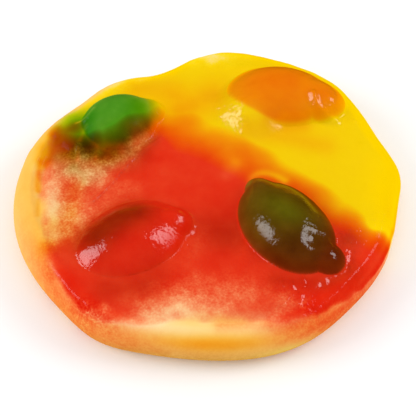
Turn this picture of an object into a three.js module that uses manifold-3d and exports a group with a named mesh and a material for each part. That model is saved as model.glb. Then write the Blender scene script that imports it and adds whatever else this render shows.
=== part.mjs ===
// A gummy pizza: a base of foam gum whose edge shows as the crust, a pool of yellow and red
// jelly that covers it and runs down its wall in places, and four jelly toppings sunk into the
// pool, each an oval lump with a small knob. Foam and jelly share one smooth moulded skin.
//
// Millimetres, +Z up. The origin is on the flat underside, below the middle of the part. The
// crust is widest towards -X and -Y. Angles are in degrees, anticlockwise from +X seen from above.

import * as THREE from "three";
import { mergeVertices } from "three/addons/utils/BufferGeometryUtils.js";
import Module from "manifold-3d";

const wasm = await Module();
wasm.setup();

// ---- Driving dimensions ----

const OUTLINE_RADIUS = 23.4; // before the lobes below
const OUTLINE_CENTRE = { x: 0.085, y: -0.3 };
const OUTLINE_LOBES = [
  { at: 8.4, spread: 6.3, swell: 0.96 }, // the corner on the right
  { at: 47.4, spread: 10.4, swell: 0.78 },
  { at: 108.9, spread: 11.4, swell: -2.91 }, // the dent at the back
  { at: 139, spread: 10.6, swell: -1.42 },
  { at: 187.2, spread: 18.9, swell: 0.96 },
  { at: 235.6, spread: 8.1, swell: 0.66 },
  { at: 265.4, spread: 18, swell: -1.06 },
  { at: 317.8, spread: 10.5, swell: -0.45 },
];

const WAIST_HEIGHT = 2.6; // where the wall is widest
const FOOT_ROUND = 2.2; // how far the flat underside lies inside the waist
const EDGE_ROUND = 2.8; // how far the top of the edge lies inside the waist
const RIM_HEIGHT = 6.1;
const RIM_LIFT = { at: 178, spread: 30, swell: 0.5 }; // the crust stands higher on the left
const TOP_HEIGHT = 6.6; // the skin between the toppings
const SETTLE_START = 1.7; // inset at which the rim starts to level out
const SETTLE_WIDTH = 3;

// Folds along the edge: at this angle and inset, the skin rises or sinks by this much.
const FOLDS = [
  { at: 177, spread: 22, inset: 1.9, width: 1.0, rise: 0.45 }, // the crust's round top
  { at: 173, spread: 17, inset: 3.3, width: 0.5, rise: -0.7 }, // the crease inside it
  { at: 224, spread: 12, inset: 1.3, width: 0.6, rise: 0.35 },
  { at: 320, spread: 14, inset: 1.3, width: 0.6, rise: 0.4 },
  { at: 272, spread: 16, inset: 3.1, width: 0.5, rise: -0.25 },
];

// Wide dips in the top: at x, y the skin sinks by this much.
const DIPS = [
  { x: 1.2, y: -6.5, reach: 4.2, depth: 0.55 },
  { x: -1.5, y: 13.5, reach: 4.5, depth: 0.5 },
  { x: -12.5, y: -1.2, reach: 4.5, depth: 0.35 },
  { x: 15.5, y: 2.2, reach: 5.0, depth: 0.3 },
];

// The pool of jelly. It ends on the skin this far inside the waist, and further in at the crust.
const SEAM_INSET = 0.03;
const SEAM_LOBES = [
  { at: 140, spread: 16, swell: 1.3 },
  { at: 188, spread: 18, swell: 3.25 }, // the crust on the left
  { at: 272, spread: 20, swell: 2.8 }, // the crust at the front
];
const SEAM_DEPTH = 0.8; // how thick the jelly ends at its seam
const POOL_FLOOR = 3.0;
const POOL_SLOPE = 4.0; // how far in from the seam the pool reaches its full depth
const JELLY_LEAST = 1.0; // over the bulges below

// Where the foam bulges up and pales the jelly above it.
const FOAM_BULGES = [
  { x: -16.8, y: -0.6, reach: 4.2, rise: 2.4 },
  { x: -11.4, y: 2.6, reach: 2.8, rise: 1.8 },
  { x: -1.0, y: -17.4, reach: 5.5, rise: 2.6 },
  { x: 2.4, y: -14.6, reach: 3.2, rise: 1.8 },
];

// Where yellow jelly behind meets red jelly in front, from left to right.
const COLOUR_BORDER = [
  [-27, 8.4],
  [-18, 6.6],
  [-13, 5.4],
  [-9, 7.6],
  [-6, 9.6],
  [-1, 7.4],
  [6.3, 3.3],
  [11.2, 0.1],
  [15.5, -4.5],
  [20, -6.9],
  [27, -6.4],
];

// The toppings, each an oval lump with a small knob at one end: half lengths along and across,
// the turn of the long axis and the height of the top.
const SUNK = 0.9; // the widest level of a topping lies this far below the skin
const TOPPING_DEPTH = 1.5; // and its underside this far below that level
const TOPPINGS = [
  {
    name: "topping_orange",
    colour: "#ef7d00",
    lump: { x: 9.3, y: 13.3, along: 6.9, across: 4.6, turn: -8, top: 9.5 },
    knob: { x: 15.2, y: 11.5, along: 2.3, across: 2.2, turn: -10, top: 8.9 },
  },
  {
    name: "topping_green",
    colour: "#4f9126",
    lump: { x: -12.5, y: 8.7, along: 6.3, across: 4.5, turn: 27, top: 9.8 },
    knob: { x: -7.9, y: 10.7, along: 2.4, across: 2.2, turn: 20, top: 8.2 },
  },
  {
    name: "topping_red",
    colour: "#e03411",
    lump: { x: -9.2, y: -8.5, along: 7.0, across: 5.1, turn: 29, top: 9.5 },
    knob: { x: -4.1, y: -6.3, along: 2.3, across: 2.2, turn: 20, top: 9.0 },
  },
  {
    name: "topping_dark_green",
    colour: "#554f00",
    lump: { x: 9.4, y: -6.9, along: 7.4, across: 4.9, turn: -56, top: 9.9 },
    knob: { x: 13.8, y: -11.2, along: 2.6, across: 2.3, turn: -30, top: 8.6 },
  },
];

const GAP = 0.25; // between pieces that touch
const ABOVE_ALL = 14; // a height over every topping

// How finely the shapes are cut: squares from the middle of a sheet to its border.
const SKIN_CELLS = 16;
const POOL_CELLS = 10;
const EDGE_STEPS = 5;
const FOOT_STEPS = 3;
const LUMP_AROUND = 22;
const LUMP_OVER = 12;
const KNOB_AROUND = 14;
const KNOB_OVER = 8;

// ---- The skin and the pool, as heights over the plan ----

const { sin, cos, abs, min, max, sqrt, PI } = Math;
const radians = THREE.MathUtils.degToRad;

function bell(distance, reach) {
  return Math.exp(-0.5 * (distance / reach) ** 2);
}

function lobe(degrees, { at, spread, swell }) {
  const apart = THREE.MathUtils.euclideanModulo(degrees - at + 180, 360) - 180;
  return swell * bell(apart, spread);
}

function sumOf(list, value) {
  return list.reduce((sum, item) => sum + value(item), 0);
}

function outlineRadius(degrees) {
  return OUTLINE_RADIUS + sumOf(OUTLINE_LOBES, (l) => lobe(degrees, l));
}

// The plan point at an angle and a distance inside the waist.
function planPoint(degrees, inset) {
  const radius = outlineRadius(degrees) - inset;
  return {
    x: OUTLINE_CENTRE.x + radius * cos(radians(degrees)),
    y: OUTLINE_CENTRE.y + radius * sin(radians(degrees)),
  };
}

function pointOver(plan, z) {
  return new THREE.Vector3(plan.x, plan.y, z);
}

function polar(x, y) {
  const dx = x - OUTLINE_CENTRE.x;
  const dy = y - OUTLINE_CENTRE.y;
  const degrees = THREE.MathUtils.radToDeg(Math.atan2(dy, dx));
  return { degrees, inset: max(outlineRadius(degrees) - Math.hypot(dx, dy), 0) };
}

// The rounded edge from the waist up, level once it is past EDGE_ROUND.
function edgeHeight(degrees, inset) {
  const rim = RIM_HEIGHT + lobe(degrees, RIM_LIFT);
  const left = 1 - min(inset / EDGE_ROUND, 1);
  return WAIST_HEIGHT + (rim - WAIST_HEIGHT) * sqrt(1 - left * left);
}

// The moulded skin between the toppings.
function skinHeight(x, y) {
  const { degrees, inset } = polar(x, y);
  const settled = THREE.MathUtils.smoothstep(inset - SETTLE_START, 0, SETTLE_WIDTH);
  const level = THREE.MathUtils.lerp(edgeHeight(degrees, inset), TOP_HEIGHT, settled);
  const folds = sumOf(FOLDS, (f) => {
    const along = lobe(degrees, { at: f.at, spread: f.spread, swell: f.rise });
    return along * bell(inset - f.inset, f.width);
  });
  const dips = sumOf(DIPS, (d) => d.depth * bell(Math.hypot(x - d.x, y - d.y), d.reach));
  return level + folds - dips * settled;
}

// A point of the wall where jelly and foam part, a distance out from the skin along its normal,
// and moved over the skin into the jelly by a clearance.
function seamPoint(degrees, outward, clearance) {
  const inset = SEAM_INSET + sumOf(SEAM_LOBES, (l) => lobe(degrees, l));
  const lean = Math.acos(1 - min(inset / EDGE_ROUND, 1));
  const skin = planPoint(degrees, inset);
  const moved = inset - outward * cos(lean) + clearance * sin(lean);
  const z = skinHeight(skin.x, skin.y) + outward * sin(lean) + clearance * cos(lean);
  return pointOver(planPoint(degrees, moved), z);
}

// The foam's upper face under the jelly, at a share of the way out to the foot of the seam.
function floorPoint(degrees, share, clearance) {
  if (share === 1) return seamPoint(degrees, clearance - SEAM_DEPTH, clearance);
  const foot = seamPoint(degrees, -SEAM_DEPTH, 0);
  const { inset: footInset } = polar(foot.x, foot.y);
  const inward = (outlineRadius(degrees) - footInset) * (1 - share);
  const plan = planPoint(degrees, footInset + inward);
  const deep = THREE.MathUtils.smoothstep(inward, 0, POOL_SLOPE);
  const bulges = sumOf(FOAM_BULGES, (b) => {
    return b.rise * bell(Math.hypot(plan.x - b.x, plan.y - b.y), b.reach);
  });
  const floor = THREE.MathUtils.lerp(foot.z, POOL_FLOOR, deep) + bulges * deep;
  return pointOver(plan, min(floor, skinHeight(plan.x, plan.y) - JELLY_LEAST) + clearance);
}

// ---- Closed solids from sheets and rings ----

// The angle and ring of a cell corner, when a square grid is pulled out into a disc. Every ring
// then has eight corners for each step from the middle, so the cells stay even.
function discCorner(i, j) {
  const ring = max(abs(i), abs(j));
  if (ring === 0) return { degrees: 0, ring };
  const acrossX = abs(i) >= abs(j);
  const eighths = acrossX ? (i > 0 ? 0 : 4) + j / i : (j > 0 ? 2 : 6) - i / j;
  return { degrees: 45 * eighths, ring };
}

// A closed solid: a top sheet, rings down its side and a flat underside at the last ring. The
// sheet is a function of an angle and a share of the way out to its border, a ring of an angle.
function closedSolid(cells, sheet, rings) {
  const corners = [];
  const face = (...points) => points.forEach((p) => corners.push(p.x, p.y, p.z));
  const quad = (a, b, c, d) => {
    face(a, b, c);
    face(a, c, d);
  };
  const on = ([i, j]) => {
    const { degrees, ring } = discCorner(i, j);
    return sheet(degrees, ring / cells);
  };
  for (let i = -cells; i < cells; i++) {
    for (let j = -cells; j < cells; j++) {
      const square = [[i, j], [i + 1, j], [i + 1, j + 1], [i, j + 1]];
      // A square is cut along the diagonal that points at the middle of the sheet.
      if (i < 0 !== j < 0) square.push(square.shift());
      quad(...square.map(on));
    }
  }
  const levels = [(degrees) => sheet(degrees, 1), ...rings];
  const last = rings[rings.length - 1];
  const middle = pointOver(OUTLINE_CENTRE, last(0).z);
  for (let n = 0; n < 8 * cells; n++) {
    const [from, to] = [(45 * n) / cells, (45 * (n + 1)) / cells];
    rings.forEach((lower, k) => {
      quad(levels[k](from), lower(from), lower(to), levels[k](to));
    });
    face(last(from), middle, last(to));
  }
  const positions = new THREE.Float32BufferAttribute(corners, 3);
  return solidFrom(new THREE.BufferGeometry().setAttribute("position", positions));
}

function solidFrom(geometry) {
  geometry.deleteAttribute("normal");
  geometry.deleteAttribute("uv");
  const merged = mergeVertices(geometry, 1e-4);
  return new wasm.Manifold(
    new wasm.Mesh({
      numProp: 3,
      vertProperties: merged.attributes.position.array,
      triVerts: new Uint32Array(merged.index.array),
    }),
  );
}

// ---- The parts ----

// Foam and jelly together, with no toppings.
function wholeBody() {
  const onSkin = (degrees, inset) => {
    const plan = planPoint(degrees, inset);
    return pointOver(plan, skinHeight(plan.x, plan.y));
  };
  const top = (degrees, share) => {
    return onSkin(degrees, EDGE_ROUND + (outlineRadius(degrees) - EDGE_ROUND) * (1 - share));
  };
  const rings = [];
  for (let k = EDGE_STEPS - 1; k >= 0; k--) {
    const lean = (PI / 2) * (k / EDGE_STEPS);
    rings.push((degrees) => onSkin(degrees, EDGE_ROUND * (1 - cos(lean))));
  }
  for (let k = 1; k <= FOOT_STEPS; k++) {
    const lean = (PI / 2) * (k / FOOT_STEPS);
    const z = WAIST_HEIGHT * (1 - sin(lean));
    rings.push((degrees) => pointOver(planPoint(degrees, FOOT_ROUND * (1 - cos(lean))), z));
  }
  return closedSolid(SKIN_CELLS, top, rings);
}

// All the space on the foam's side of the pool, widened by a clearance.
function foamSpace(clearance) {
  const floor = (degrees, share) => floorPoint(degrees, share, clearance);
  const past = (degrees) => seamPoint(degrees, 2, clearance);
  return closedSolid(POOL_CELLS, floor, [
    (degrees) => seamPoint(degrees, 0, clearance),
    past,
    (degrees) => pointOver(planPoint(degrees, -6), past(degrees).z),
    (degrees) => pointOver(planPoint(degrees, -6), -2),
  ]);
}

// A lump or knob: an ellipsoid whose lower half is flatter, grown by a clearance.
function bulbSolid(bulb, clearance, around, over) {
  const middle = TOP_HEIGHT - SUNK;
  const sphere = new THREE.SphereGeometry(1, around, over).rotateX(PI / 2);
  const points = sphere.getAttribute("position");
  for (let n = 0; n < points.count; n++) {
    const tall = points.getZ(n) > 0 ? bulb.top - middle : TOPPING_DEPTH;
    points.setXYZ(
      n,
      points.getX(n) * (bulb.along + clearance),
      points.getY(n) * (bulb.across + clearance),
      points.getZ(n) * (tall + clearance),
    );
  }
  sphere.rotateZ(radians(bulb.turn)).translate(bulb.x, bulb.y, middle);
  return solidFrom(sphere);
}

function toppingSolid({ lump, knob }, clearance) {
  const joined = bulbSolid(lump, clearance, LUMP_AROUND, LUMP_OVER);
  return joined.add(bulbSolid(knob, clearance, KNOB_AROUND, KNOB_OVER));
}

// Upright space on one side of the line where the two jellies meet.
function sideSpace(side, clearance) {
  const line = COLOUR_BORDER.map(([x, y]) => new THREE.Vector2(x, y + side * clearance));
  const [first, last] = [line[0], line[line.length - 1]];
  const far = 30 * side;
  const shape = new THREE.Shape().moveTo(first.x, first.y).splineThru(line.slice(1));
  shape.lineTo(last.x, far).lineTo(first.x, far);
  const space = new THREE.ExtrudeGeometry(shape, {
    depth: ABOVE_ALL,
    bevelEnabled: false,
    curveSegments: 3,
  });
  return solidFrom(space);
}

function meshOf(name, solid, colour, roughness) {
  const { vertProperties, triVerts } = solid.getMesh();
  const geometry = new THREE.BufferGeometry()
    .setAttribute("position", new THREE.BufferAttribute(vertProperties, 3))
    .setIndex(new THREE.BufferAttribute(triVerts, 1));
  geometry.computeVertexNormals();
  const material = new THREE.MeshStandardMaterial({ color: colour, roughness, metalness: 0 });
  const mesh = new THREE.Mesh(geometry, material);
  mesh.name = name;
  return mesh;
}

function gummyPizza() {
  const whole = wholeBody();
  const sockets = TOPPINGS.map((topping) => toppingSolid(topping, GAP));
  const carved = (solid) => sockets.reduce((left, socket) => left.subtract(socket), solid);
  const foam = carved(whole.intersect(foamSpace(0)));
  const jelly = carved(whole.subtract(foamSpace(GAP)));
  const yellow = jelly.intersect(sideSpace(1, GAP / 2));
  const red = jelly.intersect(sideSpace(-1, GAP / 2));

  const pizza = new THREE.Group();
  pizza.add(
    meshOf("crust_base", foam, "#f7c083", 0.5),
    meshOf("jelly_yellow", yellow, "#f5cd0a", 0.25),
    meshOf("jelly_red", red, "#e03411", 0.25),
  );
  for (const topping of TOPPINGS) {
    pizza.add(meshOf(topping.name, toppingSolid(topping, 0), topping.colour, 0.25));
  }
  return pizza;
}

export default gummyPizza();
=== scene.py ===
# %% [markdown]
# # A gummy pizza
# A soft sweet, about 48 mm across and 10 mm high with its toppings. A cream foam gum is poured
# first, and its edge is the crust. Clear yellow and red jelly are poured over it while it is
# warm, so they melt into each other, and four oval jelly drops sink in as toppings.
#
# Seen from outside it is one wet, moulded skin. So the scene makes that skin once, as a height
# over the plan, cuts it into the seven pieces that the real sweet is poured from, and colours
# all of them by how much jelly lies over the foam. Cutting one skin keeps the seams as tight as
# in the real thing, where modelling seven pieces one by one would leave steps between them.

import bpy
import numpy as np
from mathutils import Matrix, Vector


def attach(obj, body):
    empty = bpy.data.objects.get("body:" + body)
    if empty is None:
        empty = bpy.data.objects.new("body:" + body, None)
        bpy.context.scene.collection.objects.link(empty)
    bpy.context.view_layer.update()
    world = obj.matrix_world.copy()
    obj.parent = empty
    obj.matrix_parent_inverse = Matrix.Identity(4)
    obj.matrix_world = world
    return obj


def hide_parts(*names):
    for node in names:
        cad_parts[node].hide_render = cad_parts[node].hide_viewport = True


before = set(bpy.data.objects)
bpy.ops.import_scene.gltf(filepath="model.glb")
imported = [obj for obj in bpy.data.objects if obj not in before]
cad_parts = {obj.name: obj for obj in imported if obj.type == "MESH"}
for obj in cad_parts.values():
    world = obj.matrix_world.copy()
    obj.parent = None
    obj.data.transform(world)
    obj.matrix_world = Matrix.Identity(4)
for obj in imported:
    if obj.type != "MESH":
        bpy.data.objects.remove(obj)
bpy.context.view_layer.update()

MM = 0.001  # the frame is in metres, the numbers below are in millimetres
print("CAD nodes:", sorted(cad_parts))

# %% [markdown]
# ## Small tools for shaping
# Soft things have few straight lines. Almost every form here is a sum of bells: smooth bumps
# that rise at one place and fade with distance. `lobe` is a bell around the rim, by angle.
# `ripples` adds up many sine waves with random directions, which gives the uneven calm of a
# skin that set from a liquid. Its random numbers are seeded, so every run gives the same skin.

# %% Bells, lobes and ripples
def bell(distance, reach):
    return np.exp(-0.5 * (distance / reach) ** 2)


def lobe(degrees, at, spread, swell):
    return swell * bell((degrees - at + 180) % 360 - 180, spread)


def smoothstep(t):
    t = np.clip(t, 0, 1)
    return t * t * (3 - 2 * t)


def oval(x, y, at, halves, turn=0):
    """Distance from a place in units of an oval's half lengths, so 1 is on the oval."""
    c, s = np.cos(np.radians(turn)), np.sin(np.radians(turn))
    u, v = x - at[0], y - at[1]
    return np.hypot((u * c + v * s) / halves[0], (v * c - u * s) / halves[1])


def soft_max(a, b, width):
    """The higher of two surfaces, with a fillet where they meet."""
    near = np.maximum(width - np.abs(a - b), 0) / width
    return np.maximum(a, b) + near * near * width / 4


def ripples(x, y, wavelength, seed, waves=24):
    """Smooth unevenness of about -1 to 1 with hills this far apart."""
    draw = np.random.default_rng(seed)
    total = np.zeros(np.shape(x))
    for _ in range(waves):
        heading, phase = draw.uniform(0, 2 * np.pi, 2)
        turns = 2 * np.pi / (wavelength * draw.uniform(0.7, 1.5))
        total += np.sin(turns * (x * np.cos(heading) + y * np.sin(heading)) + phase)
    return total / np.sqrt(waves)


print("ripples reach", round(float(np.abs(ripples(*np.mgrid[0:9:0.2, 0:9:0.2], 2, seed=1)).max()), 2))

# %% [markdown]
# ## The outline and the moulded edge
# Seen from above, the sweet is a round with a few soft corners and a dent at the back left. The
# wall is widest at the waist, rounds in below to the foot it stands on, and rounds over above to
# the rim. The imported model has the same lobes, and a radius 0.03 mm larger, so that the fine
# relief made here stays inside its box. The radius and the lobes weren't chosen by hand: a
# least-squares fit to the traced outline gave them, and they were then rounded.

# %% Outline and edge
OUTLINE_RADIUS = 23.37
OUTLINE_CENTRE = (0.085, -0.3)
OUTLINE_LOBES = [  # angle, spread, swell
    (8.4, 6.3, 0.96), (47.4, 10.4, 0.78), (108.9, 11.4, -2.91), (139, 10.6, -1.42),
    (187.2, 18.9, 0.96), (235.6, 8.1, 0.66), (265.4, 18, -1.06), (317.8, 10.5, -0.45),
]
WAIST_HEIGHT = 2.6
FOOT_ROUND = 2.2
EDGE_ROUND = 2.8
EDGE_ARC = 4.95  # the way over the rounded edge, along the skin
RIM_HEIGHT = 6.1
RIM_LIFT = (178, 30, 0.5)
TOP_HEIGHT = 6.6


def outline(degrees):
    return OUTLINE_RADIUS + sum(lobe(degrees, *swelling) for swelling in OUTLINE_LOBES)


def plan_point(degrees, inset):
    radius = outline(degrees) - inset
    return (OUTLINE_CENTRE[0] + radius * np.cos(np.radians(degrees)),
            OUTLINE_CENTRE[1] + radius * np.sin(np.radians(degrees)))


def polar(x, y):
    """Angle of a plan point, and how far it is inside the waist."""
    u, v = x - OUTLINE_CENTRE[0], y - OUTLINE_CENTRE[1]
    degrees = np.degrees(np.arctan2(v, u))
    return degrees, outline(degrees) - np.hypot(u, v)


def lean(inset):
    """How far the rounded edge leans back, from 0 at the waist to a quarter turn on top."""
    return np.arccos(1 - np.clip(inset / EDGE_ROUND, 0, 1))


def edge_height(degrees, inset):
    rim = RIM_HEIGHT + lobe(degrees, *RIM_LIFT)
    return WAIST_HEIGHT + (rim - WAIST_HEIGHT) * np.sin(lean(inset))


around = np.arange(0, 360, 1.0)
across = plan_point(around, 0)
print("outline:", [round(float(np.ptp(side)), 2) for side in across], "mm")

# %% [markdown]
# ## Folds, dips and creases
# The jelly shrank a little as it set. The skin settles inside the rim, the crust on the left
# rolls up with a groove inside it, and lips stand where the crust was pressed. The wide forms
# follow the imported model. The creases and wrinkles are finer and are made here only. They could
# be left to a bump map, but real relief also shows in silhouettes and in the shape of a glint.
# Where the skin set crinkled, small ripples break a glint into pieces. Only grains and pores,
# which are too fine for this mesh, are left to bump in the material.
#
# The beads, about a fifth of the points of the creases and some of the crinkled places weren't
# placed by hand alone. They were picked by eye in a photograph of a real sweet, and a small
# program turned the picked points into millimetres.

# %% Folds, dips and creases
SETTLE_START, SETTLE_WIDTH = 1.7, 3.0
FOLDS = [  # angle, spread, inset, width, rise
    (177, 22, 1.9, 1.0, 0.45), (173, 17, 3.3, 0.5, -0.7), (224, 12, 1.3, 0.6, 0.35),
    (320, 14, 1.3, 0.6, 0.4), (272, 16, 3.1, 0.5, -0.25),
]
DIPS = [  # x, y, reach, depth
    (1.2, -6.5, 4.2, 0.55), (-1.5, 13.5, 4.5, 0.5), (-12.5, -1.2, 4.5, 0.35),
    (15.5, 2.2, 5.0, 0.3),
]
FOLD_LINE = [(-14.2, -2.8), (-12.4, -0.6), (-9.7, 3.2), (-8.1, 4.6), (-6.0, 6.7)]
CREASES = {  # path, width, rise
    "edge of the red jelly folded over the foam": (FOLD_LINE, 0.22, 0.2),
    "dip beside that edge": ([(-13.4, 0.6), (-10.6, 3.9), (-8.4, 5.6), (-6.6, 6.9)], 0.4, -0.2),
    "front crust": ([(-9.6, -19.3), (-4.5, -19.9), (1.5, -20.0), (7.0, -19.4)], 0.3, -0.18),
    "front left lip": ([(-17.3, -14.2), (-16.3, -15.7), (-15.3, -16.8)], 0.35, 0.16),
    "front right lip": (
        [(20.5, -8.8), (19.8, -10.1), (18.1, -12.5), (16.5, -14.4), (15.0, -16.3), (13.2, -18.2)],
        0.35, 0.14),
    "orange knob": ([(15.6, 10.9)], 0.9, 0.28),
    "collar round the orange knob": (
        [(13.2, 11.9), (13.5, 10.8), (14.0, 10.1), (14.9, 9.5), (16.1, 9.3)], 0.33, 0.46),
    "streak beside the green topping": ([(-16.3, 8.2), (-15.3, 9.0), (-14.5, 10.0)], 0.2, 0.2),
    "fold on the flank of the green topping": ([(-15.2, 7.6), (-15.9, 5.8), (-16.2, 4.4)], 0.25, 0.14),
    "second fold beside it": ([(-14.0, 6.2), (-14.4, 4.8), (-14.5, 3.6)], 0.25, 0.12),
    "valley beside the dark topping's crown": (
        [(12.9, -4.6), (13.1, -6.8), (12.9, -8.8), (12.2, -10.2)], 0.7, -0.32),
    "neck of the dark topping": ([(12.4, -9.8), (13.0, -11.0), (12.7, -12.2)], 0.5, -0.22),
    "wrinkle below the dark topping": ([(11.6, -15.4), (9.2, -16.0), (6.6, -15.4)], 0.3, -0.14),
    "second wrinkle below it": ([(12.2, -17.0), (9.6, -17.7), (7.2, -17.4)], 0.3, 0.12),
    "wrinkle at its knob": ([(17.2, -10.4), (16.4, -13.0), (13.6, -15.0)], 0.3, -0.14),
}
DROPLETS = [  # wet beads that stand on the jelly, most by the dark topping: x, y, half length
    (8.6, -14.8, 0.45), (9.9, -15.0, 0.5), (11.3, -14.4, 0.4), (10.9, -16.6, 0.3),
    (10.5, -17.6, 0.25), (15.3, -14.2, 0.25), (15.9, -13.7, 0.35), (16.6, -11.1, 0.4),
    (16.2, -12.8, 0.3), (17.0, -12.2, 0.25), (14.0, -14.7, 0.3), (13.9, -15.6, 0.2),
    (18.5, 9.7, 0.2),
]
BEAD_WIDTH, BEAD_RISE, BEAD_TURN = 0.17, 0.16, 8
CRINKLES = [  # where the skin set finely crinkled: place, half lengths, turn, rise
    ((3.6, 10.2), (1.8, 2.3), 20, 0.034), ((5.4, -8.6), (1.2, 2.4), -20, 0.014),
    ((9.8, -17.2), (3.0, 1.5), 0, 0.034), ((15.0, -11.6), (1.6, 1.2), -30, 0.020),
    ((-2.2, -9.0), (1.6, 2.6), 10, 0.022), ((12.0, -8.0), (1.6, 1.6), 0, 0.010),
    ((18.6, -12.0), (0.8, 4.6), -36, 0.016), ((11.0, -19.3), (4.0, 0.8), 20, 0.016),
    ((15.7, 10.8), (1.2, 1.2), 0, 0.020), ((14.2, 10.0), (1.2, 1.0), -40, 0.022),
    ((-5.4, -9.0), (1.4, 1.2), 0, 0.012), ((16.6, -8.2), (1.6, 2.2), 20, 0.024),
]
SWELL, SWELL_HILLS = 0.035, 4.2  # unevenness of the whole skin, and the way between its hills
RIPPLE, RIPPLE_HILLS = 0.012, 1.3
CRINKLE_HILLS = 0.85
RELIEF_FROM, RELIEF_OVER = -0.2, 1.2  # the relief sets in from the waist inwards


def smooth_path(path, steps=4):
    """More points on a smooth line through the given ones."""
    points = np.array([path[0], *path, path[-1]], float)
    t = np.linspace(0, 1, steps, endpoint=False)[:, None]
    parts = []
    for a, b, c, d in zip(points, points[1:], points[2:], points[3:]):
        parts.append(0.5 * (2 * b + (c - a) * t + (2 * a - 5 * b + 4 * c - d) * t ** 2
                            + (3 * b - a - 3 * c + d) * t ** 3))
    return np.concatenate([*parts, points[-1:]])


def path_distance(x, y, path):
    """Distance to a line through points, and the side: above or below it."""
    nearest, side = np.full(np.shape(x), 1e9), np.ones(np.shape(x))
    ends = path[1:] if len(path) > 1 else path
    for (ax, ay), (bx, by) in zip(path, ends):
        dx, dy = bx - ax, by - ay
        length = max(dx * dx + dy * dy, 1e-9)
        along = np.clip(((x - ax) * dx + (y - ay) * dy) / length, 0, 1)
        away = np.hypot(x - ax - along * dx, y - ay - along * dy)
        closer = away < nearest
        nearest = np.where(closer, away, nearest)
        side = np.where(closer, np.sign(dx * (y - ay) - dy * (x - ax)), side)
    return nearest, side


def level_skin(x, y):
    """Height of the skin between the toppings, without its fine relief."""
    degrees, inset = polar(x, y)
    inset = np.maximum(inset, 0)
    settled = smoothstep((inset - SETTLE_START) / SETTLE_WIDTH)
    height = edge_height(degrees, inset) * (1 - settled) + TOP_HEIGHT * settled
    for at, spread, fold_inset, width, rise in FOLDS:
        height = height + lobe(degrees, at, spread, rise) * bell(inset - fold_inset, width)
    for dip_x, dip_y, reach, depth in DIPS:
        height = height - depth * settled * bell(np.hypot(x - dip_x, y - dip_y), reach)
    return height


def crinkled(x, y):
    """How high the fine crinkles rise at each point."""
    return sum(rise * bell(oval(x, y, at, halves, turn), 1)
               for at, halves, turn, rise in CRINKLES)


def fine_relief(x, y, inset):
    """How far the skin stands proud of its plain form."""
    relief = (SWELL * ripples(x, y, SWELL_HILLS, seed=11)
              + RIPPLE * ripples(x, y, RIPPLE_HILLS, seed=12))
    for path, width, rise in CREASES.values():
        relief = relief + rise * bell(path_distance(x, y, smooth_path(path))[0], width)
    for bead_x, bead_y, length in DROPLETS:
        bead = oval(x, y, (bead_x, bead_y), (BEAD_WIDTH, length), BEAD_TURN)
        relief = relief + BEAD_RISE * bell(bead, 1)
    relief = relief + crinkled(x, y) * ripples(x, y, CRINKLE_HILLS, seed=13)
    return relief * smoothstep((inset - RELIEF_FROM) / RELIEF_OVER)


print(len(FOLDS), "folds,", len(DIPS), "dips,", len(CREASES), "creases")

# %% [markdown]
# ## The toppings
# Each topping is an oval drop with a small knob at one end, sunk a little below its widest
# level. The green one also has a low tail, and the dark one a pointed tip. The warm jelly crept
# up around the drops, so where skin and drop meet there is a soft fillet. `soft_max` gives it:
# wide around the clear toppings, tight around the dark one. A mesh sculpted by hand could do the
# same, but here each fillet is one number that is easy to change.

# %% Toppings
SUNK = 0.9
TOPPING_DEPTH = 1.5
TOPPINGS = {  # bulbs: place, half lengths along and across, turn, height of the top
    "orange": {"bulbs": [((9.3, 13.4), (7.0, 4.8), -8, 9.5), ((14.2, 12.2), (3.3, 3.2), -10, 8.9)],
               "roundness": 0.58, "blend": 1.6, "fillet": 1.2},
    "green": {"bulbs": [((-11.2, 9.2), (4.9, 4.3), 24, 9.7), ((-7.9, 10.7), (2.4, 2.2), 20, 8.0),
                        ((-15.6, 7.2), (3.1, 2.9), 27, 7.3)],
              "roundness": 0.62, "blend": 1.4, "fillet": 1.6},
    "red": {"bulbs": [((-9.2, -8.5), (7.0, 5.1), 29, 9.4), ((-4.1, -6.3), (2.3, 2.2), 20, 8.4)],
            "roundness": 0.66, "blend": 1.4, "fillet": 2.0},
    "dark_green": {"bulbs": [((9.5, -6.9), (7.5, 5.1), -56, 9.85),
                             ((13.8, -11.2), (2.8, 2.3), -34, 8.5),
                             ((6.8, -2.4), (3.1, 2.1), -62, 8.6)],
                   "roundness": 0.54, "blend": 1.0, "fillet": 0.9},
}
OUTER_FALL = 3  # how fast a bulb drops away outside its oval


def bulb_height(x, y, bulb, roundness=0.5):
    """Height over the plan: a roundness of a half is an ellipsoid, more is a softer heap."""
    at, halves, turn, top = bulb
    inside = 1 - oval(x, y, at, halves, turn) ** 2
    middle = TOP_HEIGHT - SUNK
    return (middle + (top - middle) * np.maximum(inside, 0) ** roundness
            + OUTER_FALL * np.minimum(inside, 0))


def topping_height(x, y, topping):
    height, *others = [bulb_height(x, y, bulb, topping["roundness"]) for bulb in topping["bulbs"]]
    for other in others:
        height = soft_max(height, other, topping["blend"])
    return height


ORANGE_SHOULDER = ((5.7, 11.5), (4.8, 5.2), 36, 8.7)  # jelly crept up in front of the drop
SHOULDER_ROUNDNESS, SHOULDER_BLEND = 1.0, 1.2
RISE_AT_EDGE, EDGE_BAND = 4, 2.5  # how high a topping may stand near the edge, this far inside
RISE_INSIDE, INNER_BAND = 3, 6  # and how much higher further in
CROWN_BLEND = 1.6


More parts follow.
